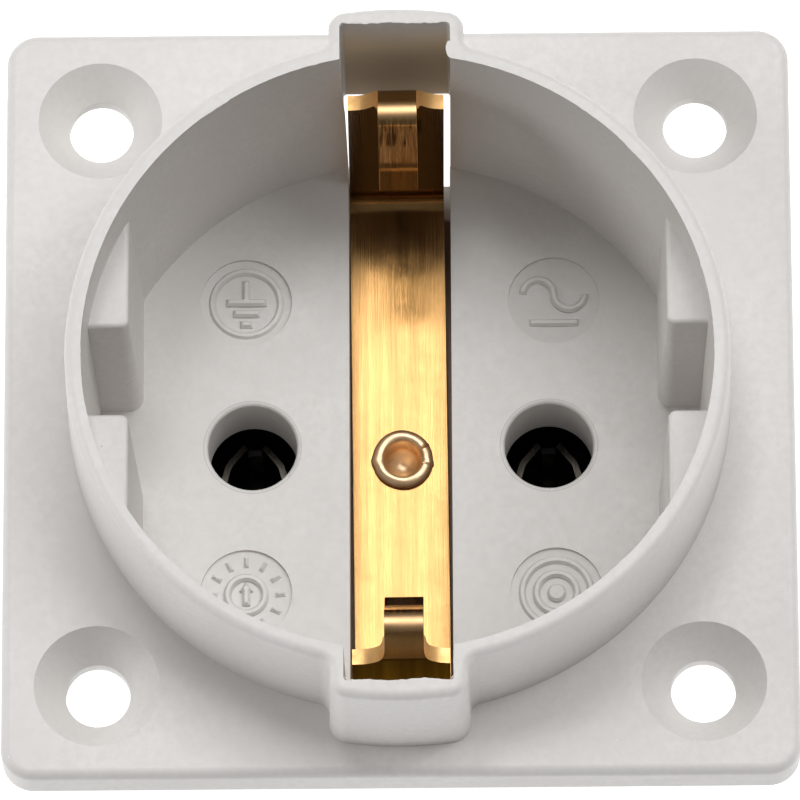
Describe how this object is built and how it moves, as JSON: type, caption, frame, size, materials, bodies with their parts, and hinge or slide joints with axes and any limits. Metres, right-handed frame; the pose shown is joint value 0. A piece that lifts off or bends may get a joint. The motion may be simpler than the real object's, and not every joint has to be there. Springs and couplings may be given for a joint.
{
  "type": "panel mount socket",
  "caption": "Square flanged mains socket with a round collar, deep well, round pin holes and a brass side earth strip.",
  "frame": {"origin": "centre of the flange's rear face, which lies on the panel", "axes": "+Z out of the panel towards the plug, +Y up on the panel along the earth strip, +X to the right"},
  "size_m": [0.05, 0.05, 0.0371],
  "materials": {
    "housing_plastic": "light grey moulded thermoplastic, fine satin",
    "base_plastic": "dark grey moulded thermoset",
    "earth_brass": "satin brass sheet, drawn lengthwise",
    "rivet_brass": "bright brass tube, rolled over",
    "contact_brass": "plain brass",
    "spring_steel": "spring steel strip",
    "plated_steel": "zinc plated steel"
  },
  "bodies": {
    "root": {"housing": "housing_plastic", "contact_base": "base_plastic", "rear_cover": "base_plastic", "earth_strip": "earth_brass", "earth_rivet": "rivet_brass", "earth_link": "contact_brass", "live_contact": "contact_brass", "neutral_contact": "contact_brass", "live_spring": "spring_steel", "neutral_spring": "spring_steel", "live_terminal": "contact_brass", "neutral_terminal": "contact_brass", "earth_terminal": "contact_brass", "live_clamp": "plated_steel", "neutral_clamp": "plated_steel", "earth_clamp": "plated_steel", "live_screw": "plated_steel", "neutral_screw": "plated_steel", "earth_screw": "plated_steel", "cover_screw_left": "plated_steel", "cover_screw_right": "plated_steel"}
  },
  "joints": []
}
